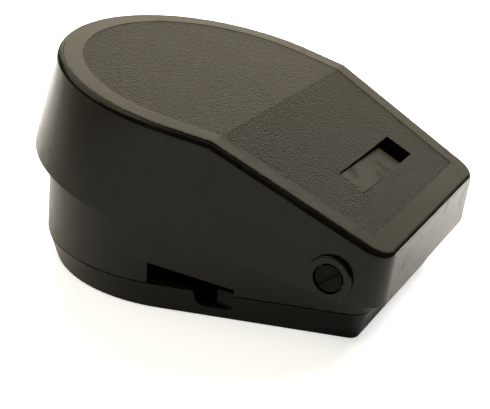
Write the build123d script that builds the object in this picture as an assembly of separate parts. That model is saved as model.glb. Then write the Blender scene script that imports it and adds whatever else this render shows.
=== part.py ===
from build123d import *

# Covered snap mouse trap: a press-down cover cocks a sprung wire strike bar over a treadle.
#
# Frame: millimetres, +Z up, the flat underside at Z = 0, the origin under the centre of the
# round rear end. +X points to the narrow front, where the cover is hinged across Y.
# The stored pose is the sprung trap: the bar is down and its tail holds the cover's rear up.
from math import acos, atan2, cos, degrees, radians, sin, tan
import os

# ---- cover, described as if it lay flat (pressed fully down) -------------------------
COVER_R = 46.3             # round rear end, at the top edge
COVER_FRONT = 70.0         # front face, at the top edge
COVER_HALF_FRONT = 37.7    # half width at the front corners
COVER_CORNER = 6.9
COVER_TOP = 44.5           # height of the flat roof
KINK_X = 19.9              # the flat roof ends and the slope begins
FRONT_TOP = 30.5           # height of the slope's front edge
COVER_SKIRT = 16.2         # height of the skirt's lower edge
COVER_DRAFT = 5.25         # degrees, the skirt leans outwards as it goes down
COVER_WALL = 2.0
ROOF_THICK = 2.2
EDGE_FILLET = 2.0
PANEL_RIM = 6.7            # smooth border round the grained roof panel
PANEL_STEP = 0.06          # how deep the grained panel lies
PANEL_CORNER = 1.1
TILT = 10.37               # degrees the cover's rear is raised in the sprung pose
PIVOT_X, PIVOT_Z = 57.6, 21.2

# ---- pivot pins and the flat pads that they sit in -----------------------------------
PAD_R, PAD_NECK = 6.0, 4.9             # round pad with a straight neck down to the skirt's edge
PAD_Y = 40.5                           # the pads' flat faces, square to the hinge line
PAD_EDGE = 0.45                        # rounding round the pads' faces
SINK_R, SINK_DEPTH = 4.15, 2.1         # round sinking that hides the pin's head
PIN_HEAD_R, PIN_HEAD_T = 3.55, 1.8
PIN_SLOT_W, PIN_SLOT_DEPTH, PIN_SLOT_TURN = 0.9, 0.5, 38.0
PIN_R = 2.0
PIN_BOSS_R = 5.0
COVER_BOSS_Y, SHELL_BOSS_Y, SHELL_BOSS_END = 34.7, 34.3, 27.5
PIN_END_Y = 25.6
PIN_CLIP_R, PIN_CLIP_T = 4.2, 0.8
RUN_FIT = 0.05                         # radial clearance of a pin that turns in its bore

# ---- base: tray below the seam, body shell above it ---------------------------------
BASE_R = 45.1
BASE_FRONT = 64.6
BASE_HALF_FRONT = 31.9
BASE_CORNER = 5.0
SEAM_Z = 8.4
SEAM_GAP = 0.3
TRAY_INSET = 2.5           # the tray draws in this far towards its underside
FLOOR_THICK = 3.0
BASE_WALL = 2.0
LIP_THICK, LIP_HEIGHT = 1.0, 2.1
SHELL_TOP = 39.0           # rear height of the shell wall
SHELL_KINK_X = 15.0
SHELL_FRONT_TOP = 25.0
SHELL_DRAFT = 2.4
PARTITION_X, PARTITION_T, PARTITION_DROP = 34.0, 1.6, 5.0
PARTITION_FOOT_HALF = 32.0               # below the lip's top it is narrower
ENTRY_HALF, ENTRY_TOP = 14.5, 25.0       # mouse entrance through the rear wall
ENTRY_SILL, ENTRY_CORNER = 4.0, 6.0
SLOT_X0, SLOT_X1 = 8.0, 31.2             # low tapering slot through each side wall
SLOT_H0, SLOT_H1 = 5.8, 1.7
SLOT_INNER = 37.0          # the side cuts stop this far from the middle plane
NOTCH_X, NOTCH_LENGTH, NOTCH_Z, NOTCH_CORNER = 25.8, 10.4, 3.3, 2.5
BOSS_R = 3.2
BOSS_SPOTS = [(-29.5, 24.7, 140), (-29.5, -24.7, -140), (56.5, 22.0, 0), (56.5, -22.0, 0)]
BOSS_TOP = 15.9            # the third value of each spot is the way its web runs, in degrees
WEB_T, WEB_REACH = 1.6, 8.0
BASE_EDGE = 0.7            # rounding of the tray's bottom edge

# ---- screws -------------------------------------------------------------------------
SCREW_R, SCREW_HEAD_R, SCREW_HEAD_T, SCREW_SINK, SCREW_TIP = 1.35, 2.7, 1.7, 2.3, 14.0
FRAME_SCREW_R, FRAME_SCREW_HEAD_R, FRAME_SCREW_HEAD_T, FRAME_SCREW_DEPTH = 1.1, 2.2, 1.4, 1.9
CROSS_WIDTH = 0.7          # arms of the screws' cross recesses

# ---- striking mechanism -------------------------------------------------------------
AXLE_X, AXLE_Z, AXLE_R = 10.0, 14.0, 1.5
BAR_R, BAR_REACH, BAR_HALF, BAR_BEND = 1.25, 31.0, 14.0, 5.0
BAR_REST = -5.0            # degrees, bar tip below level when sprung
BARREL_R, BLOCK_R, FLANGE_R = 2.5, 4.5, 5.5
BLOCK_HALF, FLANGE_IN, FLANGE_OUT = 5.0, 12.6, 15.6
TAIL_LENGTH, TAIL_TIP_R, TAIL_HALF = 8.0, 1.5, 3.5
TAIL_ANGLE = 22.0          # degrees above +X, with the bar level
SEAR_ANGLE, SEAR_R = 254.0, 6.5
SEAR_BACK = 32.0           # degrees that the tooth's back slopes over
CHEEK_IN, CHEEK_T = 17.0, 1.5
CHEEK_X0, CHEEK_X1, CHEEK_TOP = 0.5, 16.0, 18.5
FRAME_T, FRAME_WING = 1.2, 27.0
FRAME_BED_X0, FRAME_BED_X1 = 6.5, 22.0
FRAME_SCREW_X, FRAME_SCREW_Y = 8.2, 22.8
AXLE_HALF, CLIP_T, CLIP_R = 20.5, 0.8, 3.4
COIL_R, COIL_WIRE, COIL_TURNS, COIL_Y0, COIL_Y1 = 3.6, 0.5, 4.285, 6.0, 11.6
ARM_LEG = 13.3             # length of the spring's leg along the bar's arm
RIB_X0, RIB_X1, RIB_HALF = 15.5, 20.0, 1.3
RIB_BOTTOM, RIB_BOTTOM_SLOPE = 12.2, 5.0     # at the rib's middle, with the cover flat

# ---- treadle and bait cup -----------------------------------------------------------
TREADLE_X, TREADLE_Z, TREADLE_PIN_R = 3.5, 5.5, 1.0
KNUCKLE_R = 2.0
TREADLE_REAR, TREADLE_HALF, TREADLE_T = -20.0, 12.0, 1.4
HOOK_X0, HOOK_X1, HOOK_TOP, HOOK_HALF = 1.9, 3.75, 10.98, 4.0
TREADLE_Z0 = 4.9           # underside of the plate when it lies on its stop
STOP_X0, STOP_X1, STOP_HALF, STOP_TOP = -19.5, -17.5, 8.0, 4.6
CUP_X, CUP_R, CUP_WALL, CUP_TOP = -9.0, 5.0, 1.0, 7.4
CUP_FLANGE_R, CUP_FLANGE_T, CUP_LIFT = 7.6, 1.5, 0.25
TREADLE_HOLE_R, TREADLE_CORNER = 5.9, 4.0
GRIP_Y, GRIP_LENGTH, GRIP_WIDTH, GRIP_DEPTH = 3.4, 9.0, 3.2, 0.9    # wells beside the cup's grip

# ---- indicator in the slope ---------------------------------------------------------
WINDOW_X, WINDOW_Y, WINDOW_LENGTH, WINDOW_WIDTH = 49.7, 1.9, 8.5, 35.4
FLAG_GAP = 0.35
FLAG_T = 1.9
FLAG_HINGE_V, FLAG_HINGE_N = -21.0, -4.2
FLAG_SINK = 3.6            # degrees, the far end hangs about 2 mm low when sprung
FLAG_FAR_GAP = 4.2         # the plate ends this far short of the window
FLAG_HUB_R, FLAG_PIN_R, FLAG_HUB_HALF = 1.6, 0.7, 3.0
LUG_T, LUG_R, LUG_WIDTH = 2.0, 1.8, 3.6
POST_X, POST_TOP, POST_R, POST_FOOT_R = 50.0, 33.5, 1.6, 2.6

SLOPE = atan2(COVER_TOP - FRONT_TOP, COVER_FRONT - KINK_X)
PIVOT_AXIS = Axis((PIVOT_X, 0, PIVOT_Z), (0, 1, 0))


# ---- shared helpers -----------------------------------------------------------------
def outline(radius, front, half_front, corner):
    """Plan view: a round rear end about the origin, two tangent sides, a square front."""
    cx, cy = front - corner, half_front - corner
    normal = atan2(cy, cx) + acos((radius - corner) / (cx**2 + cy**2) ** 0.5)
    rear = (radius * cos(normal), radius * sin(normal))
    side = (cx + corner * cos(normal), cy + corner * sin(normal))
    mid = (cx + corner * cos(normal / 2), cy + corner * sin(normal / 2))
    face_end = (front, cy)

    def low(point):
        return (point[0], -point[1])

    edges = [
        ThreePointArc(rear, (-radius, 0), low(rear)),
        Line(low(rear), low(side)),
        ThreePointArc(low(side), low(mid), low(face_end)),
        Line(low(face_end), face_end),
        ThreePointArc(face_end, mid, side),
        Line(side, rear),
    ]
    return make_face(edges)


def profile(points, half_width=80.0):
    """A solid of the given XZ outline, running the same way to both sides of Y = 0."""
    face = Plane.XZ * make_face(Polyline(*points, close=True))
    return extrude(face, half_width, both=True)


def rod_y(x, z, radius, y0, y1):
    """A round bar along Y."""
    length = abs(y1 - y0)
    return Pos(x, (y0 + y1) / 2, z) * Rot(90, 0, 0) * Cylinder(radius, length)


def block(x0, x1, y0, y1, z0, z1):
    """A box between two corners."""
    centre = Pos((x0 + x1) / 2, (y0 + y1) / 2, (z0 + z1) / 2)
    return centre * Box(x1 - x0, y1 - y0, z1 - z0)


def raised(shape):
    """Turn a piece of the flat cover up into the sprung pose."""
    return shape.rotate(PIVOT_AXIS, TILT)


def roof_z(x):
    """Height of the flat cover's roof over a point of its slope."""
    return COVER_TOP - (x - KINK_X) * tan(SLOPE)


# ---- cover --------------------------------------------------------------------------
def roof_profile(drop, bottom=-1.0):
    """Everything under the two roof planes, lowered by drop square to them."""
    kink = KINK_X - drop * tan(SLOPE / 2)
    top = COVER_TOP - drop
    low = top - (90 - kink) * tan(SLOPE)
    return profile([(-80, bottom), (-80, top), (kink, top), (90, low), (90, bottom)])


def cover_blank(inset, drop, bottom):
    """The drafted skirt under the roof planes, inset from the outer surface."""
    lean = tan(radians(COVER_DRAFT))
    grow = (COVER_TOP - bottom) * lean - inset
    front_grow = grow - (COVER_TOP - FRONT_TOP) * lean
    plan = outline(
        COVER_R + grow,
        COVER_FRONT + front_grow,
        COVER_HALF_FRONT + front_grow,
        COVER_CORNER + front_grow,
    )
    skirt = extrude(Pos(0, 0, bottom) * plan, COVER_TOP - bottom, taper=COVER_DRAFT)
    return skirt & roof_profile(drop)


def on_roof_rim(edge):
    """True for the edges between the roof planes and the skirt."""
    ends = [edge @ 0, edge @ 1, edge @ 0.5]
    on_roof = all(abs(p.Z - min(COVER_TOP, roof_z(p.X))) < 0.01 for p in ends)
    on_kink = all(abs(p.X - KINK_X) < 0.01 for p in ends)
    return on_roof and not on_kink


def slope_plane():
    """Local frame on the slope at the window: x down the slope, y along Y, z outwards."""
    return Plane(
        origin=(WINDOW_X, WINDOW_Y, roof_z(WINDOW_X)),
        x_dir=(cos(SLOPE), 0, -sin(SLOPE)),
        z_dir=(sin(SLOPE), 0, cos(SLOPE)),
    )


def both_sides(shape):
    """The shape on the +Y side, with its mirror image on the -Y side."""
    return shape + mirror(shape, Plane.XZ)


def panel_recess():
    """The thin layer taken off the roof inside its smooth rim."""
    plan = outline(
        COVER_R - PANEL_RIM, COVER_FRONT - PANEL_RIM, COVER_HALF_FRONT - PANEL_RIM, PANEL_CORNER
    )
    column = extrude(plan, COVER_TOP + 5)
    return column - roof_profile(PANEL_STEP)


def pin_pad():
    """Flat-faced pad on the +Y side of the skirt, with its inner boss."""
    disc = Pos(PIVOT_X, PIVOT_Z) * Circle(PAD_R)
    neck = Pos(PIVOT_X, (COVER_SKIRT + PIVOT_Z) / 2) * Rectangle(2 * PAD_NECK, PIVOT_Z - COVER_SKIRT)
    pad = extrude(Plane.XZ * (disc + neck), -PAD_Y)
    pad = fillet(pad.edges().group_by(Axis.Y)[-1], PAD_EDGE)
    pad = pad & block(PIVOT_X - 20, PIVOT_X + 20, COVER_BOSS_Y + 2, PAD_Y, 0, 60)
    boss = rod_y(PIVOT_X, PIVOT_Z, PIN_BOSS_R, COVER_BOSS_Y, PAD_Y - 1)
    return pad + boss


def pin_hole():
    """Bore and head sinking through the +Y pad."""
    bore = rod_y(PIVOT_X, PIVOT_Z, PIN_R + RUN_FIT, COVER_BOSS_Y - 1, PAD_Y)
    sink = rod_y(PIVOT_X, PIVOT_Z, SINK_R, PAD_Y - SINK_DEPTH, PAD_Y + 4)
    return bore + sink


def push_rib():
    """The rib under the roof that bears on the cocking lever's tail."""
    mid = (RIB_X0 + RIB_X1) / 2
    fall = tan(radians(RIB_BOTTOM_SLOPE))
    low0 = RIB_BOTTOM + (RIB_X0 - mid) * fall
    low1 = RIB_BOTTOM + (RIB_X1 - mid) * fall
    top = COVER_TOP - ROOF_THICK + 0.5
    return profile([(RIB_X0, low0), (RIB_X0, top), (RIB_X1, top), (RIB_X1, low1)], RIB_HALF)


def window_cut():
    """The window through the slope."""
    return slope_plane() * Box(WINDOW_LENGTH, WINDOW_WIDTH, 12)


def flag_lugs():
    """Two lugs under the roof that hold the indicator's pin."""
    depth = -FLAG_HINGE_N - ROOF_THICK + 0.3
    lugs = Part()
    for sign in (-1, 1):
        u = sign * (FLAG_HUB_HALF + 0.3 + LUG_T / 2)
        web = Pos(u, FLAG_HINGE_V, -ROOF_THICK + 0.3 - depth / 2) * Box(LUG_T, LUG_WIDTH, depth)
        end = Pos(u, FLAG_HINGE_V, FLAG_HINGE_N) * Rot(0, 90, 0) * Cylinder(LUG_R, LUG_T)
        lugs += web + end
    bore = Pos(0, FLAG_HINGE_V, FLAG_HINGE_N) * Rot(0, 90, 0) * Cylinder(FLAG_PIN_R, 30)
    return slope_plane() * (lugs - bore)


def entry_arch(half_width, top, x0, x1):
    """A round-cornered doorway along X, open downwards."""
    height = 40.0
    face = Plane.YZ * Pos(0, top - height / 2) * RectangleRounded(2 * half_width, height, ENTRY_CORNER)
    return Pos(x0, 0, 0) * extrude(face, x1 - x0)


def make_cover():
    """Moulded cover, turned up into the sprung pose."""
    outer = cover_blank(0, 0, COVER_SKIRT)
    outer = fillet([e for e in outer.edges() if on_roof_rim(e)], EDGE_FILLET)
    outer += both_sides(pin_pad())
    inner = cover_blank(COVER_WALL, ROOF_THICK, COVER_SKIRT - 2)
    shell = outer - (inner - both_sides(pin_pad()))
    shell -= panel_recess()
    shell -= both_sides(pin_hole())
    shell -= entry_arch(ENTRY_HALF + 1.0, ENTRY_TOP + 1.5, -60, -30)
    shell += push_rib()
    shell -= window_cut()
    shell += flag_lugs()
    return raised(shell)


# ---- pivot pins ---------------------------------------------------------------------
def make_pivot_pin(side):
    """Slotted pin: the head sits in the cover's pad, the shank is pressed into the shell."""
    seat = PAD_Y - SINK_DEPTH + RUN_FIT
    head = rod_y(PIVOT_X, PIVOT_Z, PIN_HEAD_R, seat, seat + PIN_HEAD_T)
    shank = rod_y(PIVOT_X, PIVOT_Z, PIN_R, PIN_END_Y, seat)
    slot = Pos(PIVOT_X, seat + PIN_HEAD_T, PIVOT_Z) * Rot(0, side * PIN_SLOT_TURN, 0)
    slot = slot * Box(4 * PIN_HEAD_R, 2 * PIN_SLOT_DEPTH, PIN_SLOT_W)
    pin = head + shank - slot
    return pin if side > 0 else mirror(pin, Plane.XZ)


def make_pivot_clips():
    """Push-on washers that hold the pivot pins inside the shell."""
    end = SHELL_BOSS_END
    ring = rod_y(PIVOT_X, PIVOT_Z, PIN_CLIP_R, end - PIN_CLIP_T, end)
    return both_sides(ring - rod_y(PIVOT_X, PIVOT_Z, PIN_R, end - 2, end + 1))


# ---- body shell ---------------------------------------------------------------------
def shell_blank(inset, bottom=SEAM_Z):
    """The shell's drafted wall as a solid, inset from its outer surface."""
    lean = tan(radians(SHELL_DRAFT))
    grow = (SEAM_Z - bottom) * lean - inset
    plan = outline(BASE_R + grow, BASE_FRONT + grow, BASE_HALF_FRONT + grow, BASE_CORNER + grow)
    return extrude(Pos(0, 0, bottom) * plan, SHELL_TOP - bottom, taper=SHELL_DRAFT)


def shell_top_profile(drop=0.0):
    """Everything under the shell's top edge line."""
    top, front = SHELL_TOP - drop, SHELL_FRONT_TOP - drop
    return profile([(-80, 0), (-80, top), (SHELL_KINK_X, top), (BASE_FRONT, front), (BASE_FRONT, 0)])


def side_slot():
    """Low slot above the seam that narrows towards the front, cut through both side walls."""
    wedge = [
        (SLOT_X0, SEAM_Z - 1),
        (SLOT_X0, SEAM_Z + SLOT_H0),
        (SLOT_X1, SEAM_Z + SLOT_H1),
        (SLOT_X1, SEAM_Z - 1),
    ]
    middle = block(-70, 90, -SLOT_INNER, SLOT_INNER, -5, 60)
    return profile(wedge) - middle


def screw_boss(x, y, turn):
    """Round boss for a screw, tied to the wall by a web that clears the tray's lip."""
    boss = Pos(x, y, (SEAM_Z + BOSS_TOP) / 2) * Cylinder(BOSS_R, BOSS_TOP - SEAM_Z)
    web_z0 = SEAM_Z + LIP_HEIGHT + 0.3
    web = Pos(x, y, 0) * Rot(0, 0, turn) * block(0, WEB_REACH, -WEB_T / 2, WEB_T / 2, web_z0, BOSS_TOP)
    solid = (boss + web) & shell_blank(BASE_WALL / 2)
    return solid - Pos(x, y, SEAM_Z) * Cylinder(SCREW_R, 2 * (SCREW_TIP + 0.5 - SEAM_Z))


def make_body_shell():
    """Wall inside the cover, with partition, screw bosses and pivot bosses."""
    shell = (shell_blank(0) - shell_blank(BASE_WALL, SEAM_Z - 1)) & shell_top_profile()
    low = SEAM_Z - PARTITION_DROP
    plate = block(PARTITION_X, PARTITION_X + PARTITION_T, -60, 60, low, SHELL_TOP)
    plate = plate & shell_blank(BASE_WALL - 0.2) & shell_top_profile(2.0)
    lip_top = SEAM_Z + LIP_HEIGHT + 0.3
    plate -= both_sides(block(PARTITION_X - 1, PARTITION_X + 5, PARTITION_FOOT_HALF, 60, 0, lip_top))
    pivot = rod_y(PIVOT_X, PIVOT_Z, PIN_BOSS_R - 0.5, SHELL_BOSS_END, SHELL_BOSS_Y)
    shell += plate
    shell += both_sides(pivot)
    for spot in BOSS_SPOTS:
        shell += screw_boss(*spot)
    shell -= both_sides(rod_y(PIVOT_X, PIVOT_Z, PIN_R, SHELL_BOSS_END - 2, SHELL_BOSS_Y + 2))
    shell -= entry_arch(ENTRY_HALF, ENTRY_TOP, -60, -30)
    return shell - side_slot()


# ---- bottom tray --------------------------------------------------------------------
def tray_blank():
    """Dish that widens from its underside up to the seam."""
    size = TRAY_INSET
    top = SEAM_Z - SEAM_GAP
    spread = degrees(atan2(TRAY_INSET, top))
    plan = outline(BASE_R - size, BASE_FRONT - size, BASE_HALF_FRONT - size, BASE_CORNER - size)
    blank = extrude(plan, top, taper=-spread)
    return fillet(blank.edges().group_by(Axis.Z)[0], BASE_EDGE)


def ring_plan(inset):
    """The base outline at the seam, drawn in by inset."""
    return outline(
        BASE_R - inset, BASE_FRONT - inset, BASE_HALF_FRONT - inset, max(BASE_CORNER - inset, 1.0)
    )


def locating_lip():
    """Thin upstand that locates the shell, cut away round the screw bosses."""
    outer = BASE_WALL + 0.15
    lip = ring_plan(outer) - ring_plan(outer + LIP_THICK)
    lip = Pos(0, 0, FLOOR_THICK) * extrude(lip, SEAM_Z + LIP_HEIGHT - FLOOR_THICK)
    for x, y, _ in BOSS_SPOTS:
        lip -= Pos(x, y, SEAM_Z + 10) * Cylinder(BOSS_R + 0.4, 20)
    return lip - block(SLOT_X0 - 0.4, SLOT_X1 + 0.4, -60, 60, SEAM_Z - SEAM_GAP, 40)


def make_bottom_tray():
    """Floor tray with rim, screw posts, treadle stop, flag post and bait port."""
    tray = tray_blank()
    hollow = Pos(0, 0, FLOOR_THICK) * extrude(ring_plan(BASE_WALL + 0.15 + LIP_THICK), 30)
    tray -= hollow
    tray += locating_lip()
    for x, y, _ in BOSS_SPOTS:
        tray += Pos(x, y, SEAM_Z / 2) * Cylinder(BOSS_R, SEAM_Z)
    tray += block(STOP_X0, STOP_X1, -STOP_HALF, STOP_HALF, FLOOR_THICK - 0.5, STOP_TOP)
    tray += Pos(POST_X, 0, FLOOR_THICK) * flag_post()
    for x, y, _ in BOSS_SPOTS:
        tray -= Pos(x, y, SEAM_Z / 2) * Cylinder(SCREW_R + 0.25, 2 * SEAM_Z)
        tray -= Pos(x, y, SCREW_SINK / 2) * Cylinder(SCREW_HEAD_R + 0.2, SCREW_SINK)
    for x, y in frame_screw_spots():
        tray -= Pos(x, y, FLOOR_THICK) * Cylinder(FRAME_SCREW_R, 2 * FRAME_SCREW_DEPTH)
    tray -= Pos(CUP_X, 0, 0) * Cylinder(CUP_R + RUN_FIT, 12)
    tray -= Pos(CUP_X, 0, 0) * Cylinder(CUP_FLANGE_R + 0.3, 2 * (CUP_FLANGE_T + 0.3))
    tray -= entry_arch(ENTRY_HALF, ENTRY_TOP, -60, -30) & block(-60, -30, -20, 20, ENTRY_SILL, 40)
    notch = RectangleRounded(NOTCH_LENGTH, 2 * (SEAM_Z - NOTCH_Z), NOTCH_CORNER)
    notch = Plane.XZ * Pos(NOTCH_X, SEAM_Z) * notch
    tray -= extrude(notch, 60, both=True) - block(-70, 90, -SLOT_INNER, SLOT_INNER, -5, 60)
    return tray


def flag_post():
    """Slim tapered post under the indicator, standing on Z = 0."""
    height = POST_TOP - FLOOR_THICK
    return Pos(0, 0, height / 2 - 0.25) * Cone(POST_FOOT_R, POST_R, height + 0.5)


# ---- screws -------------------------------------------------------------------------
def cross_slot(radius, depth):
    """Cross recess centred on the origin, as deep as depth on each side."""
    return Box(2 * radius, CROSS_WIDTH, 2 * depth) + Box(CROSS_WIDTH, 2 * radius, 2 * depth)


def make_tray_screws():
    """Screws that come up through the tray into the shell's bosses."""
    screws = Part()
    for x, y, _ in BOSS_SPOTS:
        head_z = SCREW_SINK - SCREW_HEAD_T
        head = Pos(0, 0, head_z + SCREW_HEAD_T / 2) * Cylinder(SCREW_HEAD_R, SCREW_HEAD_T)
        shank = Pos(0, 0, (SCREW_SINK + SCREW_TIP) / 2) * Cylinder(SCREW_R, SCREW_TIP - SCREW_SINK)
        head -= Pos(0, 0, head_z) * cross_slot(1.6, 0.9)
        screws += Pos(x, y, 0) * (head + shank)
    return screws


def frame_screw_spots():
    """Where the mechanism frame is screwed to the floor."""
    return [(FRAME_SCREW_X, side * FRAME_SCREW_Y) for side in (1, -1)]


def make_frame_screws():
    """Pan-head screws that hold the mechanism frame to the floor."""
    seat = FLOOR_THICK + FRAME_T
    screws = Part()
    for x, y in frame_screw_spots():
        head_mid = seat + FRAME_SCREW_HEAD_T / 2
        head = Pos(0, 0, head_mid) * Cylinder(FRAME_SCREW_HEAD_R, FRAME_SCREW_HEAD_T)
        length = FRAME_T + FRAME_SCREW_DEPTH
        shank = Pos(0, 0, seat - length / 2) * Cylinder(FRAME_SCREW_R, length)
        head -= Pos(0, 0, seat + FRAME_SCREW_HEAD_T) * cross_slot(1.3, 0.7)
        screws += Pos(x, y, 0) * (head + shank)
    return screws


# ---- striking mechanism -------------------------------------------------------------
def at_axle(shape):
    """Move a piece made about the origin, with the bar level, to the axle at rest."""
    return Pos(AXLE_X, 0, AXLE_Z) * Rot(0, BAR_REST, 0) * shape


def make_mechanism_frame():
    """Bent steel bracket: two cheeks, a bed between them and a screw wing outside each."""
    z0, z1 = FLOOR_THICK, FLOOR_THICK + FRAME_T
    outer = CHEEK_IN + CHEEK_T
    cheek = profile(
        [
            (CHEEK_X0, z0),
            (CHEEK_X0, TREADLE_Z + 3),
            (AXLE_X - 3.5, CHEEK_TOP),
            (AXLE_X + 3.5, CHEEK_TOP),
            (CHEEK_X1, z0 + 6),
            (CHEEK_X1, z0),
        ],
        outer,
    )
    cheek = cheek & block(0, 30, CHEEK_IN, outer, 0, 40)
    wing = block(CHEEK_X0 + 3, CHEEK_X1 - 3, outer - 0.5, FRAME_WING, z0, z1)
    hole = Pos(FRAME_SCREW_X, FRAME_SCREW_Y, z0) * Cylinder(FRAME_SCREW_R + 0.15, 4)
    frame = both_sides(cheek + wing - hole)
    frame += block(FRAME_BED_X0, FRAME_BED_X1, -outer, outer, z0, z1)
    frame -= rod_y(AXLE_X, AXLE_Z, AXLE_R, -30, 30)
    return frame - rod_y(TREADLE_X, TREADLE_Z, TREADLE_PIN_R, -30, 30)


def make_strike_axle():
    return rod_y(AXLE_X, AXLE_Z, AXLE_R, -AXLE_HALF, AXLE_HALF)


def make_axle_clips():
    """Push-on washers at the axle's ends."""
    y0 = CHEEK_IN + CHEEK_T
    ring = rod_y(AXLE_X, AXLE_Z, CLIP_R, y0, y0 + CLIP_T)
    return both_sides(ring - rod_y(AXLE_X, AXLE_Z, AXLE_R, y0 - 1, y0 + 2))


def make_strike_bar():
    """U of round wire whose ends are pressed into the cocking lever's flanges."""
    root = BARREL_R + AXLE_R / 4
    points = [
        (-root, -BAR_HALF, 0),
        (-BAR_REACH, -BAR_HALF, 0),
        (-BAR_REACH, BAR_HALF, 0),
        (-root, BAR_HALF, 0),
    ]
    path = FilletPolyline(*points, radius=BAR_BEND)
    section = Plane(origin=points[0], z_dir=(-1, 0, 0)) * Circle(BAR_R)
    return at_axle(sweep(section, path=path))


def make_cocking_lever():
    """Moulded hub that carries the bar, with its tail and its sear tooth."""
    hub = rod_y(0, 0, BARREL_R, -FLANGE_OUT, FLANGE_OUT)
    hub += rod_y(0, 0, BLOCK_R, -BLOCK_HALF, BLOCK_HALF)
    hub += both_sides(rod_y(0, 0, FLANGE_R, FLANGE_IN, FLANGE_OUT))
    web = block(0, TAIL_LENGTH, -TAIL_HALF, TAIL_HALF, -TAIL_TIP_R, 0)
    tip = rod_y(TAIL_LENGTH, 0, TAIL_TIP_R, -TAIL_HALF, TAIL_HALF)
    hub += Rot(0, -TAIL_ANGLE, 0) * (web + tip)
    hub += profile(sear_points(), BLOCK_HALF)
    hub -= rod_y(0, 0, AXLE_R + RUN_FIT, -30, 30)
    root = BARREL_R + AXLE_R / 4
    socket = Pos(-root - 10, 0, 0) * Rot(0, 90, 0) * Cylinder(BAR_R, 20)
    hub -= both_sides(Pos(0, BAR_HALF, 0) * socket)
    return at_axle(hub)


def sear_points():
    """The tooth: a radial face at its working side and a sloping back."""
    def polar(radius, angle):
        return (radius * cos(radians(angle)), radius * sin(radians(angle)))

    return [
        polar(BARREL_R, SEAR_ANGLE),
        polar(SEAR_R, SEAR_ANGLE),
        polar(SEAR_R, SEAR_ANGLE - 5),
        polar(BLOCK_R - 0.4, SEAR_ANGLE - SEAR_BACK),
    ]


def spring_wire(path):
    """Spring wire along a path."""
    return sweep(Plane(origin=path @ 0, z_dir=path % 0) * Circle(COIL_WIRE), path=path)


def make_torsion_spring(side):
    """Coil round the lever's barrel, one leg down to the frame's bed, one over the bar's arm."""
    height = COIL_Y1 - COIL_Y0
    helix = Helix(height / COIL_TURNS, height, COIL_R)
    start, end = helix @ 0, helix @ 1
    bed_drop = AXLE_Z - FLOOR_THICK - FRAME_T - COIL_WIRE - 0.1
    tip = end + (helix % 1) * ARM_LEG
    crook = tip + Vector(0, 0, BAR_HALF + 0.8 - COIL_Y1)
    coil = sweep(Plane(origin=start, z_dir=helix % 0) * Circle(COIL_WIRE), path=helix, is_frenet=True)
    bed_leg = spring_wire(Line(start, start - (helix % 0) * bed_drop))
    arm_leg = spring_wire(FilletPolyline(end, tip, crook, radius=1.0))
    spring = Compound(coil.solids() + bed_leg.solids() + arm_leg.solids())
    spring = Pos(AXLE_X, -COIL_Y0, AXLE_Z) * Rot(90, 0, 0) * spring
    return spring if side < 0 else mirror(spring, Plane.XZ)


# ---- treadle and bait cup -----------------------------------------------------------
def make_treadle():
    """Plate that the mouse treads on, with its hinge tube and the hook that holds the sear."""
    z1 = TREADLE_Z0 + TREADLE_T
    plate = block(TREADLE_REAR, TREADLE_X, -TREADLE_HALF, TREADLE_HALF, TREADLE_Z0, z1)
    corners = plate.edges().filter_by(Axis.Z).group_by(Axis.X)[0]
    plate = fillet(corners, TREADLE_CORNER)
    plate += rod_y(TREADLE_X, TREADLE_Z, KNUCKLE_R, -CHEEK_IN + 0.4, CHEEK_IN - 0.4)
    plate += block(HOOK_X0, HOOK_X1, -HOOK_HALF, HOOK_HALF, TREADLE_Z, HOOK_TOP)
    plate -= Pos(CUP_X, 0, TREADLE_Z) * Cylinder(TREADLE_HOLE_R, 10)
    return plate - rod_y(TREADLE_X, TREADLE_Z, TREADLE_PIN_R + RUN_FIT, -30, 30)


def make_treadle_pin():
    end = CHEEK_IN + CHEEK_T + 0.4
    return rod_y(TREADLE_X, TREADLE_Z, TREADLE_PIN_R, -end, end)


def make_bait_cup():
    """Cup that pulls out downwards, with a grip bar across its flange."""
    z0 = CUP_LIFT
    flange = Pos(CUP_X, 0, z0 + CUP_FLANGE_T / 2) * Cylinder(CUP_FLANGE_R, CUP_FLANGE_T)
    barrel = Pos(CUP_X, 0, (z0 + CUP_TOP) / 2) * Cylinder(CUP_R, CUP_TOP - z0)
    floor = z0 + CUP_FLANGE_T + 0.6
    cavity = Pos(CUP_X, 0, floor + CUP_TOP / 2) * Cylinder(CUP_R - CUP_WALL, CUP_TOP)
    cup = flange + barrel - cavity
    for side in (1, -1):
        well = extrude(SlotOverall(GRIP_LENGTH, GRIP_WIDTH), GRIP_DEPTH)
        well = Pos(CUP_X, side * GRIP_Y, z0) * well
        cup -= well
    return cup


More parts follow.
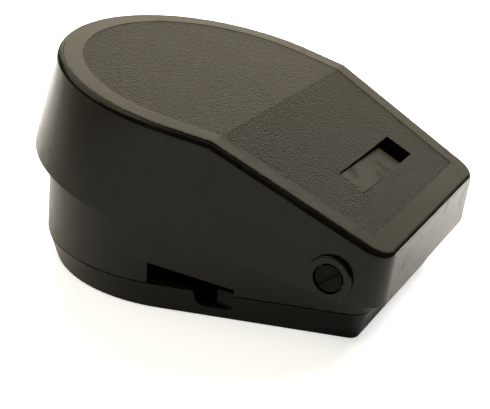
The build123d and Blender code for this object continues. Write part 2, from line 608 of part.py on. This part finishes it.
# ---- indicator ----------------------------------------------------------------------
def make_indicator_flag():
    """Plate that fills the window, hinged at its -Y end, hanging low in the sprung pose."""
    half = WINDOW_WIDTH / 2 - FLAG_GAP
    plate = [
        (-half, -0.1),
        (half - FLAG_FAR_GAP, -0.1),
        (half - FLAG_FAR_GAP, -0.1 - FLAG_T),
        (-half + 3.0, -0.1 - FLAG_T),
        (-half + 1.0, -4.6),
        (FLAG_HINGE_V, FLAG_HINGE_N - FLAG_HUB_R),
        (FLAG_HINGE_V, FLAG_HINGE_N + FLAG_HUB_R),
        (-half, FLAG_HINGE_N + FLAG_HUB_R),
    ]
    section = make_face(Polyline(*plate, close=True))
    turn = Plane(origin=(0, 0, 0), x_dir=(0, 1, 0), z_dir=(1, 0, 0))
    body = extrude(turn * section, WINDOW_LENGTH / 2 - FLAG_GAP, both=True)
    beside = Box(20, 20, 20) - Box(2 * FLAG_HUB_HALF, 20, 20)
    body -= Pos(0, -half - 10, 0) * beside
    hub = Pos(0, FLAG_HINGE_V, FLAG_HINGE_N) * Rot(0, 90, 0)
    body += hub * Cylinder(FLAG_HUB_R, 2 * FLAG_HUB_HALF)
    body -= hub * Cylinder(FLAG_PIN_R + RUN_FIT, 30)
    hinge = Axis((0, FLAG_HINGE_V, FLAG_HINGE_N), (1, 0, 0))
    body = body.rotate(hinge, -FLAG_SINK)
    return raised(slope_plane() * body)


def make_indicator_pin():
    length = 2 * (FLAG_HUB_HALF + 0.3 + LUG_T)
    pin = Pos(0, FLAG_HINGE_V, FLAG_HINGE_N) * Rot(0, 90, 0) * Cylinder(FLAG_PIN_R, length)
    return raised(slope_plane() * pin)


# ---- write one file per piece -------------------------------------------------------
def all_parts():
    return {
        "bottom_tray": make_bottom_tray(),
        "body_shell": make_body_shell(),
        "cover": make_cover(),
        "pivot_pin_left": make_pivot_pin(1),
        "pivot_pin_right": make_pivot_pin(-1),
        "pivot_clips": make_pivot_clips(),
        "mechanism_frame": make_mechanism_frame(),
        "strike_axle": make_strike_axle(),
        "axle_clips": make_axle_clips(),
        "strike_bar": make_strike_bar(),
        "cocking_lever": make_cocking_lever(),
        "torsion_spring_left": make_torsion_spring(1),
        "torsion_spring_right": make_torsion_spring(-1),
        "treadle": make_treadle(),
        "treadle_pin": make_treadle_pin(),
        "bait_cup": make_bait_cup(),
        "indicator_flag": make_indicator_flag(),
        "indicator_pin": make_indicator_pin(),
        "tray_screws": make_tray_screws(),
        "frame_screws": make_frame_screws(),
    }


if __name__ == "__main__":
    os.makedirs("parts", exist_ok=True)
    for name, shape in all_parts().items():
        export_step(shape, f"parts/{name}.step")
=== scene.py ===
import math
import bpy
from mathutils import Matrix, Vector


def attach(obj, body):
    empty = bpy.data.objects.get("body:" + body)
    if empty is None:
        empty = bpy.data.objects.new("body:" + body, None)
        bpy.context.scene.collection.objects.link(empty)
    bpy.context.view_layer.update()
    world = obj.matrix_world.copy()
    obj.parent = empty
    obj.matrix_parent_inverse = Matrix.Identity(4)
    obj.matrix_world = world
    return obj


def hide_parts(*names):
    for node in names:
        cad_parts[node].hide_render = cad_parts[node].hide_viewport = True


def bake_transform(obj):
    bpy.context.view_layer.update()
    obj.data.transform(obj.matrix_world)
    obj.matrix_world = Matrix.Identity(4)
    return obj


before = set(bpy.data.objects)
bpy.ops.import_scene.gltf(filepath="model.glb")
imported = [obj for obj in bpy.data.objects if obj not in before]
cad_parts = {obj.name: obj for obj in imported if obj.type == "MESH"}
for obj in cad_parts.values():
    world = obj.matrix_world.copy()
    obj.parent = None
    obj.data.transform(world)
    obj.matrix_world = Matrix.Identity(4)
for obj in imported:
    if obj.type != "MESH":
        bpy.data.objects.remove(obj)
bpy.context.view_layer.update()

MM = 0.001

# ---- the cover's own lines, in the frame of the CAD -----------------------------------
HINGE = Vector((0.0576, 0.0, 0.0212))          # the cover's hinge line crosses Y here
COVER_TILT = math.radians(10.37)               # how far the cover's rear stands up
ROOF_SLOPE = math.atan2(14.0, 50.1)            # fall of the sloping part of the roof
KINK = Vector((0.0199, 0.0, 0.0445))           # roof kink, with the cover flat
PANEL_SUNK = (0.03 * MM, 0.09 * MM)            # how deep the grained panel's faces lie, from and to
PANEL_UP = 0.9                                 # a panel face points up at least this much
KINK_REACH = 0.4 * MM                          # how near to the kink its edges lie
ROOF_LOW = 44.0 * MM                           # the kink's edges are higher than this
KINK_EDGE_MIN = 2.0 * MM                       # the shortest edge across that counts as the kink
MERGE_GAP = 1e-6                               # loose corners this close are the same corner
FLAT_ANGLE = math.radians(0.5)                 # faces this nearly level are joined into one
COVER_SMOOTH, SPRING_SMOOTH = 24.0, 50.0       # degrees, the sharpest edges that are shaded soft


# ---- small helpers --------------------------------------------------------------------
def deselect_all():
    """Object mode, with nothing selected, before an operator is used."""
    if bpy.context.object and bpy.context.object.mode != "OBJECT":
        bpy.ops.object.mode_set(mode="OBJECT")
    bpy.ops.object.select_all(action="DESELECT")


def only(piece):
    """Select one piece and make it active."""
    deselect_all()
    piece.select_set(True)
    bpy.context.view_layer.objects.active = piece


def smooth(piece, angle, creases=()):
    """Soft shading that keeps flat faces flat, and creases and sharper edges crisp."""
    only(piece)
    bpy.ops.object.shade_smooth_by_angle(angle=math.radians(angle))
    for edge in creases:
        piece.data.edges[edge].use_edge_sharp = True
    bpy.ops.object.modifier_add(type="WEIGHTED_NORMAL")
    piece.modifiers[-1].keep_sharp = True
    bpy.ops.object.modifier_apply(modifier=piece.modifiers[-1].name)


def merged_copy(node, name):
    """A joined-up copy of a CAD node's loose triangles, as a piece of its own."""
    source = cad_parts[node]
    piece = bpy.data.objects.new(name, source.data.copy())
    piece.data.name = name
    bpy.context.scene.collection.objects.link(piece)
    piece.data.transform(source.matrix_world)
    only(piece)
    bpy.ops.object.mode_set(mode="EDIT")
    bpy.ops.mesh.select_all(action="SELECT")
    bpy.ops.mesh.remove_doubles(threshold=MERGE_GAP)
    bpy.ops.mesh.dissolve_limited(angle_limit=FLAT_ANGLE)
    bpy.ops.object.mode_set(mode="OBJECT")
    return piece


def paint(piece, *materials):
    """Give a piece these materials, in order."""
    piece.data.materials.clear()
    for material in materials:
        piece.data.materials.append(material)


# ---- shader node groups ---------------------------------------------------------------
def new_group(name, inputs, outputs):
    """An empty shader group with named sockets: (name, type, default)."""
    group = bpy.data.node_groups.new(name, "ShaderNodeTree")
    for label, kind, default in inputs:
        socket = group.interface.new_socket(label, in_out="INPUT", socket_type=kind)
        if default is not None:
            socket.default_value = default
    for label, kind in outputs:
        group.interface.new_socket(label, in_out="OUTPUT", socket_type=kind)
    return group, group.nodes.new("NodeGroupInput"), group.nodes.new("NodeGroupOutput")


FLOAT, VECTOR = "NodeSocketFloat", "NodeSocketVector"


def add(tree, kind, **values):
    """A node with its properties set."""
    node = tree.nodes.new(kind)
    for key, value in values.items():
        setattr(node, key, value)
    return node


def maths(tree, operation, a, b=None, c=None, clamp=False):
    """A Math node on sockets or numbers; returns its output."""
    node = add(tree, "ShaderNodeMath", operation=operation, use_clamp=clamp)
    for slot, value in enumerate((a, b, c)):
        if value is None:
            continue
        if hasattr(value, "is_linked"):
            tree.links.new(value, node.inputs[slot])
        else:
            node.inputs[slot].default_value = value
    return node.outputs[0]


def noise(tree, vector, scale, detail=3.0, roughness=0.5, distortion=0.0):
    """A Noise Texture; scale may be a socket or a number. Returns its value output."""
    node = add(tree, "ShaderNodeTexNoise")
    tree.links.new(vector, node.inputs["Vector"])
    if hasattr(scale, "is_linked"):
        tree.links.new(scale, node.inputs["Scale"])
    else:
        node.inputs["Scale"].default_value = scale
    node.inputs["Detail"].default_value = detail
    node.inputs["Roughness"].default_value = roughness
    node.inputs["Distortion"].default_value = distortion
    return node.outputs[0]


def build_leather_grain():
    """Fine pebbled grain as mould makers etch it: rounded cells with soft valleys."""
    group, given, out = new_group(
        "leather_grain",
        [("Vector", VECTOR, None), ("Cells per metre", FLOAT, 1500.0)],
        [("Height", FLOAT), ("Valley", FLOAT)],
    )
    warp_scale, shift_by = 500.0, 0.0006       # per metre, and metres
    fine_times, fine_share, valley_from = 2.6, 0.35, 0.45
    warp = add(group, "ShaderNodeTexNoise")
    group.links.new(given.outputs["Vector"], warp.inputs["Vector"])
    warp.inputs["Scale"].default_value = warp_scale
    warp.inputs["Detail"].default_value = 2.0
    shift = add(group, "ShaderNodeVectorMath", operation="MULTIPLY_ADD")
    group.links.new(warp.outputs["Color"], shift.inputs[0])
    shift.inputs[1].default_value = (shift_by, shift_by, shift_by)
    group.links.new(given.outputs["Vector"], shift.inputs[2])
    cells = add(group, "ShaderNodeTexVoronoi", feature="SMOOTH_F1")
    group.links.new(shift.outputs[0], cells.inputs["Vector"])
    group.links.new(given.outputs["Cells per metre"], cells.inputs["Scale"])
    cells.inputs["Smoothness"].default_value = 0.35
    fine_scale = maths(group, "MULTIPLY", given.outputs["Cells per metre"], fine_times)
    fine = noise(group, given.outputs["Vector"], fine_scale, 2.0)
    pebble = maths(group, "SUBTRACT", 1.0, cells.outputs["Distance"])
    height = maths(group, "MULTIPLY_ADD", fine, fine_share, pebble)
    group.links.new(height, out.inputs["Height"])
    valley = maths(group, "SUBTRACT", cells.outputs["Distance"], valley_from, clamp=True)
    group.links.new(valley, out.inputs["Valley"])
    return group


def build_mould_mottle():
    """Slow clouding and waviness of a moulded skin, with a sparse fine speckle."""
    group, given, out = new_group(
        "mould_mottle",
        [("Vector", VECTOR, None), ("Cloud scale", FLOAT, 60.0), ("Speckle scale", FLOAT, 900.0)],
        [("Cloud", FLOAT), ("Wave", FLOAT), ("Speckle", FLOAT)],
    )
    cloud = noise(group, given.outputs["Vector"], given.outputs["Cloud scale"], 4.0, 0.55, 0.4)
    wave_times = 2.3
    wave_scale = maths(group, "MULTIPLY", given.outputs["Cloud scale"], wave_times)
    wave = noise(group, given.outputs["Vector"], wave_scale, 1.0)
    dots = noise(group, given.outputs["Vector"], given.outputs["Speckle scale"], 1.0)
    group.links.new(cloud, out.inputs["Cloud"])
    group.links.new(wave, out.inputs["Wave"])
    speckle_from, speckle_gain = 0.66, 4.0
    peaks = maths(group, "SUBTRACT", dots, speckle_from, clamp=True)
    group.links.new(maths(group, "MULTIPLY", peaks, speckle_gain, clamp=True), out.inputs["Speckle"])
    return group


def build_drawn_metal():
    """Fine lines and tone changes of drawn wire and rolled strip."""
    group, given, out = new_group(
        "drawn_metal",
        [("Vector", VECTOR, None), ("Line scale", FLOAT, 900.0)],
        [("Lines", FLOAT), ("Tone", FLOAT)],
    )
    lines = noise(group, given.outputs["Vector"], given.outputs["Line scale"], 2.0, 0.5)
    tone_scale = 180.0
    tone = noise(group, given.outputs["Vector"], tone_scale, 3.0)
    group.links.new(lines, out.inputs["Lines"])
    group.links.new(tone, out.inputs["Tone"])
    return group


def build_handling_marks():
    """Faint smudges and hairline rubs left on gloss by handling."""
    group, given, out = new_group(
        "handling_marks",
        [("Vector", VECTOR, None), ("Smudge scale", FLOAT, 85.0)],
        [("Smudge", FLOAT), ("Rub", FLOAT)],
    )
    patches = noise(group, given.outputs["Vector"], given.outputs["Smudge scale"], 3.0, 0.6, 0.8)
    smudge_from, smudge_full = 0.54, 0.72
    smudge = add(group, "ShaderNodeMapRange", interpolation_type="SMOOTHSTEP")
    group.links.new(patches, smudge.inputs["Value"])
    smudge.inputs["From Min"].default_value = smudge_from
    smudge.inputs["From Max"].default_value = smudge_full
    group.links.new(smudge.outputs[0], out.inputs["Smudge"])
    hair_turn, hairs_per_metre = (0.2, 0.5, 0.35), (60.0, 1900.0, 1900.0)      # long one way, fine across
    stretch = add(group, "ShaderNodeMapping")
    group.links.new(given.outputs["Vector"], stretch.inputs["Vector"])
    stretch.inputs["Rotation"].default_value = hair_turn
    stretch.inputs["Scale"].default_value = hairs_per_metre
    hairs = noise(group, stretch.outputs[0], 1.0, 2.0)
    hair_from, hair_gain = 0.68, 6.0
    peaks = maths(group, "SUBTRACT", hairs, hair_from, clamp=True)
    fine = maths(group, "MULTIPLY", peaks, hair_gain, clamp=True)
    group.links.new(maths(group, "MULTIPLY", fine, patches), out.inputs["Rub"])
    return group


def build_edge_wear():
    """Where an outside edge has been rubbed: 1 on convex edges, broken up by noise."""
    group, given, out = new_group(
        "edge_wear",
        [("Vector", VECTOR, None), ("Pointiness", FLOAT, 0.5), ("Low", FLOAT, 0.52), ("High", FLOAT, 0.6)],
        [("Mask", FLOAT)],
    )
    sharp = add(group, "ShaderNodeMapRange")
    group.links.new(given.outputs["Pointiness"], sharp.inputs["Value"])
    group.links.new(given.outputs["Low"], sharp.inputs["From Min"])
    group.links.new(given.outputs["High"], sharp.inputs["From Max"])
    break_scale = 420.0
    broken = noise(group, given.outputs["Vector"], break_scale, 3.0)
    group.links.new(maths(group, "MULTIPLY", sharp.outputs[0], broken, clamp=True), out.inputs["Mask"])
    return group


GRAIN = build_leather_grain()
MARKS = build_handling_marks()
WEAR = build_edge_wear()
MOTTLE = build_mould_mottle()
DRAWN = build_drawn_metal()


# ---- materials ------------------------------------------------------------------------
def start_material(name):
    """A material with its Principled shader and an Object coordinate socket."""
    material = bpy.data.materials.new(name)
    material.use_nodes = True
    tree = material.node_tree
    shader = tree.nodes["Principled BSDF"]
    place = add(tree, "ShaderNodeTexCoord").outputs["Object"]
    return material, tree, shader, place


def use_group(tree, group, place, **values):
    """Place a node group on the given coordinates."""
    node = add(tree, "ShaderNodeGroup", node_tree=group)
    tree.links.new(place, node.inputs["Vector"])
    for key, value in values.items():
        node.inputs[key.replace("_", " ")].default_value = value
    return node


def spread(tree, value, low, high):
    """Map 0..1 to low..high."""
    node = add(tree, "ShaderNodeMapRange")
    tree.links.new(value, node.inputs["Value"])
    node.inputs["To Min"].default_value = low
    node.inputs["To Max"].default_value = high
    return node.outputs[0]


def blend_colour(tree, factor, low, high):
    """Mix two colours by a factor."""
    node = add(tree, "ShaderNodeMix", data_type="RGBA")
    tree.links.new(factor, node.inputs["Factor"])
    node.inputs["A"].default_value = (*low, 1.0)
    node.inputs["B"].default_value = (*high, 1.0)
    return node.outputs["Result"]


def add_bump(tree, shader, height, strength, distance):
    """Bump from a height socket into the shader's normal; distance is in metres."""
    bump = add(tree, "ShaderNodeBump")
    bump.inputs["Strength"].default_value = strength
    bump.inputs["Distance"].default_value = distance
    tree.links.new(height, bump.inputs["Height"])
    tree.links.new(bump.outputs["Normal"], shader.inputs["Normal"])


GATE_FLAT = 0.3            # the flat middle of the gate mark, as a share of its radius


def gate_mark(tree, place, spot, radius):
    """1 at the middle of a small round mark left where the plastic entered the mould."""
    gap = add(tree, "ShaderNodeVectorMath", operation="DISTANCE")
    tree.links.new(place, gap.inputs[0])
    gap.inputs[1].default_value = spot
    mark = add(tree, "ShaderNodeMapRange", interpolation_type="SMOOTHSTEP")
    tree.links.new(gap.outputs["Value"], mark.inputs["Value"])
    mark.inputs["From Min"].default_value = radius
    mark.inputs["From Max"].default_value = GATE_FLAT * radius
    return mark.outputs[0]


GATE_DEPTH = 0.6           # of the gate mark, as a share of the skin's own waviness
SPECK_DULL, SMUDGE_DULL, RUB_DULL, WEAR_DULL = 0.06, 0.14, 0.25, 0.15      # added roughness
# Bumps: strength, and height in metres.
WAVE_BUMP = (0.12, 0.0004)
GRAIN_BUMP = (1.0, 0.0006)
LINE_BUMP = (0.05, 0.00005)
PANEL_CELLS, PANEL_CLOUD, PANEL_IOR = 1700.0, 45.0, 1.5
PANEL_ROUGH_LOW, PANEL_ROUGH_HIGH = 0.3, 0.38
METAL_DULL = 0.72          # the darker tone of a metal, as a share of its lighter one


def moulded_plastic(name, dark, light, rough_low, rough_high, cloud=60.0, ior=1.42, gate=None):
    """Glossy moulding: clouded sheen, faint waviness and specks.

    cloud is the fineness of the clouding, per metre; gate is the (spot, radius) of a gate mark.
    """
    material, tree, shader, place = start_material(name)
    skin = use_group(tree, MOTTLE, place, Cloud_scale=cloud)
    tree.links.new(blend_colour(tree, skin.outputs["Cloud"], dark, light), shader.inputs["Base Color"])
    marks = use_group(tree, MARKS, place)
    wear = use_group(tree, WEAR, place)
    tree.links.new(add(tree, "ShaderNodeNewGeometry").outputs["Pointiness"], wear.inputs["Pointiness"])
    rough = spread(tree, skin.outputs["Cloud"], rough_low, rough_high)
    for mask, gain in (
        (skin.outputs["Speckle"], SPECK_DULL),
        (marks.outputs["Smudge"], SMUDGE_DULL),
        (marks.outputs["Rub"], RUB_DULL),
        (wear.outputs["Mask"], WEAR_DULL),
    ):
        rough = maths(tree, "ADD", rough, maths(tree, "MULTIPLY", mask, gain), clamp=True)
    tree.links.new(rough, shader.inputs["Roughness"])
    shader.inputs["IOR"].default_value = ior
    height = skin.outputs["Wave"]
    if gate:
        dimple = maths(tree, "MULTIPLY", gate_mark(tree, place, *gate), GATE_DEPTH)
        height = maths(tree, "SUBTRACT", height, dimple)
    add_bump(tree, shader, height, *WAVE_BUMP)
    return material


def grained_plastic(name, dark, light):
    """The roof panel: black plastic with etched pebble grain, duller than the skirt."""
    material, tree, shader, place = start_material(name)
    grain = use_group(tree, GRAIN, place, Cells_per_metre=PANEL_CELLS)
    tree.links.new(blend_colour(tree, grain.outputs["Valley"], light, dark), shader.inputs["Base Color"])
    skin = use_group(tree, MOTTLE, place, Cloud_scale=PANEL_CLOUD)
    rough = spread(tree, skin.outputs["Cloud"], PANEL_ROUGH_LOW, PANEL_ROUGH_HIGH)
    tree.links.new(rough, shader.inputs["Roughness"])
    shader.inputs["IOR"].default_value = PANEL_IOR
    add_bump(tree, shader, grain.outputs["Height"], *GRAIN_BUMP)
    return material


def steel(name, tone, rough_low, rough_high, line_scale=900.0):
    """Bare or plated steel with drawn lines."""
    material, tree, shader, place = start_material(name)
    metal = use_group(tree, DRAWN, place, Line_scale=line_scale)
    dull = tuple(METAL_DULL * c for c in tone)
    tree.links.new(blend_colour(tree, metal.outputs["Tone"], dull, tone), shader.inputs["Base Color"])
    tree.links.new(spread(tree, metal.outputs["Lines"], rough_low, rough_high), shader.inputs["Roughness"])
    shader.inputs["Metallic"].default_value = 1.0
    add_bump(tree, shader, metal.outputs["Lines"], *LINE_BUMP)
    return material


BLACK_DARK, BLACK_LIGHT = (0.0032, 0.0031, 0.0022), (0.0062, 0.0060, 0.0042)
NYLON_DARK, NYLON_LIGHT = (0.52, 0.5, 0.43), (0.62, 0.6, 0.53)
RED_DARK, RED_LIGHT = (0.28, 0.02, 0.012), (0.36, 0.032, 0.02)
GATE = ((0.0328, -0.042, 0.0338), 0.0026)      # middle and radius of the skirt's gate mark
SKIRT_GLOSS = moulded_plastic("cover_gloss_black", BLACK_DARK, BLACK_LIGHT, 0.13, 0.24, gate=GATE)
PANEL_GRAIN = grained_plastic("cover_grain_black", BLACK_DARK, BLACK_LIGHT)
SHELL_GLOSS = moulded_plastic("shell_gloss_black", BLACK_DARK, BLACK_LIGHT, 0.16, 0.26, cloud=75.0)
TRAY_GLOSS = moulded_plastic("tray_gloss_black", BLACK_DARK, BLACK_LIGHT, 0.2, 0.32, cloud=90.0, ior=1.34)
PIN_BLACK = moulded_plastic("pin_black", BLACK_DARK, BLACK_LIGHT, 0.5, 0.62, cloud=200.0, ior=1.3)
CUP_BLACK = moulded_plastic("cup_black", BLACK_DARK, BLACK_LIGHT, 0.25, 0.38, cloud=120.0)
FLAG_BLACK = moulded_plastic("flag_black", BLACK_DARK, BLACK_LIGHT, 0.24, 0.3, cloud=120.0)
LEVER_NYLON = moulded_plastic("lever_nylon", NYLON_DARK, NYLON_LIGHT, 0.38, 0.52, cloud=150.0)
TREADLE_RED = moulded_plastic("treadle_red", RED_DARK, RED_LIGHT, 0.35, 0.48, cloud=130.0)
WIRE_STEEL = steel("wire_steel", (0.62, 0.61, 0.59), 0.18, 0.36)
AXLE_STEEL = steel("axle_steel", (0.6, 0.6, 0.59), 0.15, 0.3)
SPRING_STEEL = steel("spring_steel", (0.4, 0.4, 0.41), 0.25, 0.42, 1400.0)
ZINC_STEEL = steel("zinc_steel", (0.58, 0.59, 0.61), 0.25, 0.45, 500.0)
SCREW_STEEL = steel("screw_steel", (0.55, 0.55, 0.54), 0.22, 0.4, 1200.0)


# ---- cover ----------------------------------------------------------------------------
def flat_cover_point(point):
    """Where a point of the raised cover lies when the cover is flat."""
    turn = Matrix.Rotation(-COVER_TILT, 3, "Y")
    return turn @ (point - HINGE) + HINGE


def in_panel(face):
    """True for a face of the recessed roof panel."""
    centre = flat_cover_point(face.center)
    turn = Matrix.Rotation(-COVER_TILT, 3, "Y")
    normal = turn @ face.normal
    roof = KINK.z
    if centre.x > KINK.x:
        roof -= (centre.x - KINK.x) * math.tan(ROOF_SLOPE)
    depth = (roof - centre.z) * (math.cos(ROOF_SLOPE) if centre.x > KINK.x else 1.0)
    return normal.z > PANEL_UP and PANEL_SUNK[0] < depth < PANEL_SUNK[1]


def kink_edges(cover):
    """The edges across the cover where its flat roof meets the slope."""
    found = []
    for edge in cover.data.edges:
        a, b = (flat_cover_point(cover.data.vertices[i].co) for i in edge.vertices)
        near = all(abs(end.x - KINK.x) < KINK_REACH for end in (a, b))
        on_roof = all(end.z > ROOF_LOW for end in (a, b))
        if near and on_roof and abs(a.y - b.y) > KINK_EDGE_MIN:
            found.append(edge.index)
    return found


def make_cover():
    """The cover's moulding, with its grained panel told apart from its glossy skin."""
    cover = merged_copy("cover", "cover_moulding")
    paint(cover, SKIRT_GLOSS, PANEL_GRAIN)     # slots 0 and 1
    for face in cover.data.polygons:
        face.material_index = 1 if in_panel(face) else 0
    smooth(cover, COVER_SMOOTH, kink_edges(cover))
    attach(cover, "cover")
    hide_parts("cover")


# ---- springs --------------------------------------------------------------------------
def make_spring(node):
    """Torsion spring between its bed leg and its bar leg, as a smoothed steel copy of its CAD wire."""
    spring = merged_copy(node, node + "_wire")
    paint(spring, SPRING_STEEL)
    smooth(spring, SPRING_SMOOTH)
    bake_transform(spring)
    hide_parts(node)


# ---- the CAD pieces that stay ---------------------------------------------------------
KEPT = {
    "bottom_tray": TRAY_GLOSS,
    "body_shell": SHELL_GLOSS,
    "pivot_pin_left": PIN_BLACK,
    "pivot_pin_right": PIN_BLACK,
    "pivot_clips": SPRING_STEEL,
    "axle_clips": SPRING_STEEL,
    "mechanism_frame": ZINC_STEEL,
    "strike_axle": AXLE_STEEL,
    "strike_bar": WIRE_STEEL,
    "cocking_lever": LEVER_NYLON,
    "treadle": TREADLE_RED,
    "treadle_pin": AXLE_STEEL,
    "bait_cup": CUP_BLACK,
    "indicator_flag": FLAG_BLACK,
    "indicator_pin": AXLE_STEEL,
    "tray_screws": SCREW_STEEL,
    "frame_screws": SCREW_STEEL,
}


def dress_cad_pieces():
    """Give each CAD piece that stays its material."""
    for node, material in KEPT.items():
        paint(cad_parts[node], material)


# ---- studio ---------------------------------------------------------------------------
CAMERA_AZIMUTH, CAMERA_ELEVATION, CAMERA_ROLL = 25.83, 22.65, 3.13     # degrees
CAMERA_AIM = Vector((0.006, 0.0, 0.0274))      # middle of what the camera looks at
CAMERA_RIGHT, CAMERA_DOWN = 0.00743, 0.01120   # how far the view is shifted from there
CAMERA_BACK = 0.3381                           # distance from the camera to there
CAMERA_LENS, CAMERA_SENSOR = 85.41, 36.0       # millimetres

FLOOR_SIZE, FLOOR_DROP = 8.0, 0.0001           # the floor lies this far under the tray
PAPER_DARK, PAPER_LIGHT = (0.84, 0.84, 0.83), (0.88, 0.88, 0.87)
FLOOR_LIFT = 0.62          # the paper's own glow, seen by the lens alone
# The sky, one lobe a line: towards, dark below this cosine, full above this, colour.
# The first is full in every direction.
SKY_LOBES = (
    ((0.0, 0.0, 1.0), -1.5, -1.2, (0.03, 0.0285, 0.0235)),
    ((-0.62, -0.1, 0.75), 0.80, 0.93, (1.0, 0.86, 0.62)),
    ((-0.3, 0.84, 0.45), 0.70, 1.0, (1.32, 1.18, 0.90)),
)
# Lights that brighten the floor: name, place, aim, size, power, colour.
FLOOR_WASHES = (
    ("wash_back_right", (0.33, 0.46, 0.50), (0.21, 0.27, 0.0), 0.25, 2.1, (1.0, 0.95, 0.90)),
    ("wash_left", (-0.36, 0.32, 0.5), (-0.22, 0.20, 0.0), 0.25, 1.0, (1.0, 0.95, 0.90)),
    ("wash_front", (0.05, -0.55, 0.6), (0.03, -0.32, 0.0), 0.4, 0.42, (1.0, 0.98, 0.8)),
)
WASH_SPREAD = math.radians(50)
# A long narrow light overhead, for the thin light line along the roof's edge.
STRIP_PLACE = (0.0, -0.30, 1.24)
STRIP_LENGTH, STRIP_WIDTH, STRIP_POWER, STRIP_COLOUR = 1.2, 0.09, 0.6, (1.0, 0.94, 0.78)


def make_camera():
    """Three-quarter view from the front right, a little above the roof."""
    azimuth, elevation = math.radians(CAMERA_AZIMUTH), math.radians(CAMERA_ELEVATION)
    back = Vector((
        math.sin(azimuth) * math.cos(elevation),
        -math.cos(azimuth) * math.cos(elevation),
        math.sin(elevation),
    ))
    right = Vector((math.cos(azimuth), math.sin(azimuth), 0.0))
    up = back.cross(right)
    target = CAMERA_AIM + right * CAMERA_RIGHT - up * CAMERA_DOWN
    level = Matrix((right, up, back)).transposed()
    turn = level @ Matrix.Rotation(math.radians(CAMERA_ROLL), 3, "Z")
    data = bpy.data.cameras.new("camera")
    data.lens, data.sensor_width = CAMERA_LENS, CAMERA_SENSOR
    data.clip_start, data.clip_end = 0.01, 20.0
    camera = bpy.data.objects.new("camera", data)
    camera.matrix_world = Matrix.Translation(target + back * CAMERA_BACK) @ turn.to_4x4()
    bpy.context.scene.collection.objects.link(camera)
    bpy.context.scene.camera = camera


def softbox(name, place, aim, size, power, colour):
    """A square area light aimed at a point."""
    data = bpy.data.lights.new(name, "AREA")
    data.shape, data.size, data.energy, data.color = "SQUARE", size, power, colour
    lamp = bpy.data.objects.new(name, data)
    lamp.location = place
    lamp.rotation_euler = (Vector(aim) - Vector(place)).to_track_quat("-Z", "Y").to_euler()
    bpy.context.scene.collection.objects.link(lamp)
    return lamp


def make_floor():
    """A wide pale floor; the lens sees it a little brighter than the object's sheen does."""
    deselect_all()
    bpy.ops.mesh.primitive_plane_add(size=FLOOR_SIZE, location=(0.0, 0.0, -FLOOR_DROP))
    floor = bpy.context.object
    floor.name = "studio_floor"
    material, tree, shader, place = start_material("floor_paper")
    fibre = noise(tree, place, 400.0, 3.0)
    paper = blend_colour(tree, fibre, PAPER_DARK, PAPER_LIGHT)
    tree.links.new(paper, shader.inputs["Base Color"])
    shader.inputs["Roughness"].default_value = 0.9
    shader.inputs["Specular IOR Level"].default_value = 0.1
    seen = add(tree, "ShaderNodeLightPath").outputs["Is Camera Ray"]
    tree.links.new(maths(tree, "MULTIPLY", seen, FLOOR_LIFT), shader.inputs["Emission Strength"])
    shader.inputs["Emission Color"].default_value = (1.0, 1.0, 1.0, 1.0)
    paint(floor, material)


def add_lobe(tree, way, direction, low, high, colour):
    """Part of the sky that is bright towards a direction: dark below low, full above high."""
    lean = add(tree, "ShaderNodeVectorMath", operation="DOT_PRODUCT")
    tree.links.new(way, lean.inputs[0])
    lean.inputs[1].default_value = Vector(direction).normalized()
    step = add(tree, "ShaderNodeMapRange", interpolation_type="SMOOTHSTEP")
    tree.links.new(lean.outputs["Value"], step.inputs["Value"])
    step.inputs["From Min"].default_value = low
    step.inputs["From Max"].default_value = high
    tint = add(tree, "ShaderNodeVectorMath", operation="SCALE")
    tint.inputs[0].default_value = colour
    tree.links.new(step.outputs[0], tint.inputs["Scale"])
    return tint.outputs[0]


def make_world():
    """A dim room, bright behind the trap and high on its left, and white to the lens."""
    world = bpy.data.worlds.new("studio")
    bpy.context.scene.world = world
    world.use_nodes = True
    tree = world.node_tree
    background = tree.nodes["Background"]
    way = add(tree, "ShaderNodeTexCoord").outputs["Generated"]
    total = None
    for direction, low, high, colour in SKY_LOBES:
        lobe = add_lobe(tree, way, direction, low, high, colour)
        if total is None:
            total = lobe
            continue
        both = add(tree, "ShaderNodeVectorMath", operation="ADD")
        tree.links.new(total, both.inputs[0])
        tree.links.new(lobe, both.inputs[1])
        total = both.outputs[0]
    seen = add(tree, "ShaderNodeLightPath").outputs["Is Camera Ray"]
    mix = add(tree, "ShaderNodeMix", data_type="RGBA")
    tree.links.new(seen, mix.inputs["Factor"])
    tree.links.new(total, mix.inputs["A"])
    mix.inputs["B"].default_value = (1.0, 1.0, 1.0, 1.0)
    tree.links.new(mix.outputs["Result"], background.inputs["Color"])
    background.inputs["Strength"].default_value = 1.0


def make_studio():
    """Floor, sky, lights and camera."""
    bpy.context.scene.view_settings.view_transform = "Standard"
    make_floor()
    make_world()
    for name, place, aim, size, power, colour in FLOOR_WASHES:
        wash = softbox(name, place, aim, size, power, colour)
        wash.data.spread = WASH_SPREAD
        wash.visible_glossy = False
    middle = (0.0, 0.0, 0.0)
    strip = softbox("strip_over", STRIP_PLACE, middle, STRIP_LENGTH, STRIP_POWER, STRIP_COLOUR)
    strip.data.shape, strip.data.size_y = "RECTANGLE", STRIP_WIDTH
    make_camera()


make_cover()
make_spring("torsion_spring_left")
make_spring("torsion_spring_right")
dress_cad_pieces()
make_studio()
